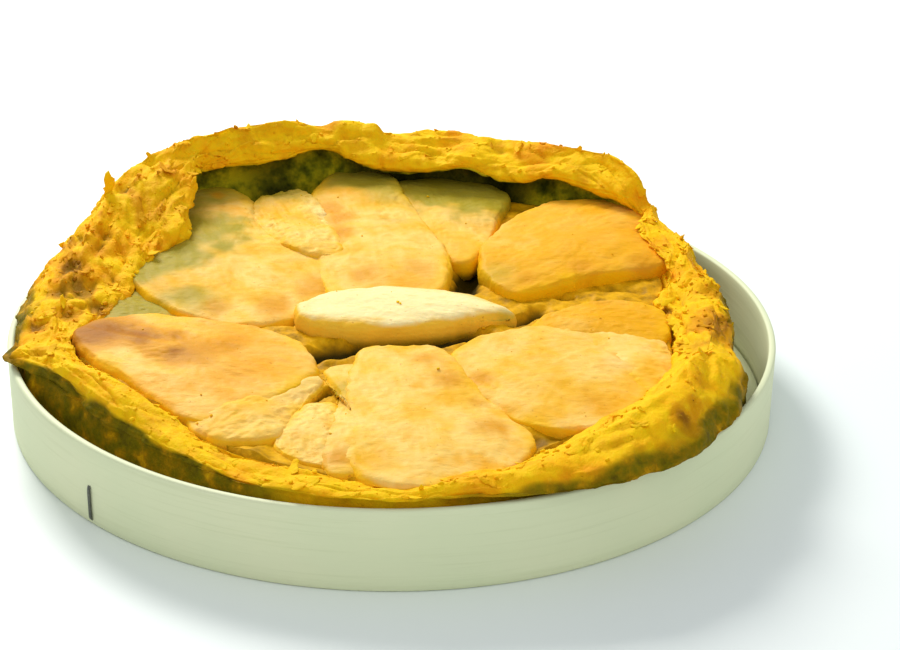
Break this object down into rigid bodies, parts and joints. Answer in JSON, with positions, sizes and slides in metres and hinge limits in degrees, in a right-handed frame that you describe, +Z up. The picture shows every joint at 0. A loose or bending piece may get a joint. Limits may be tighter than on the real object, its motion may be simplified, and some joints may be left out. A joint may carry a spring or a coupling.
{
  "type": "tarte tatin",
  "caption": "Rustic apple tart with a folded flaky crust and overlapping apple slices, in its thin round wooden baking dish.",
  "frame": {"origin": "centre of the dish's underside", "axes": "+Z up out of the tart, -Y the side shown to the front, +X to its right"},
  "size_m": [0.26, 0.26, 0.0594],
  "materials": {
    "veneer": "matte",
    "staple_steel": "satin",
    "baked_pastry": "matte",
    "baked_apple": "satin",
    "juicy_filling": "gloss"
  },
  "bodies": {
    "root": {"dish_wall": "veneer", "dish_base": "veneer", "staple": "staple_steel", "pastry": "baked_pastry", "filling": "juicy_filling", "apple_centre_wedge": "baked_apple", "apple_centre_arch": "baked_apple", "apple_right_back": "baked_apple", "apple_right_front": "baked_apple", "apple_front_centre": "baked_apple", "apple_left_front": "baked_apple", "apple_left_back": "baked_apple", "apple_back_wedge": "baked_apple", "apple_back_chunk": "baked_apple", "apple_right_strip": "baked_apple", "apple_right_end": "baked_apple", "apple_front_sliver": "baked_apple", "apple_front_flake": "baked_apple", "apple_front_chunk": "baked_apple", "apple_left_strip": "baked_apple"}
  },
  "joints": []
}
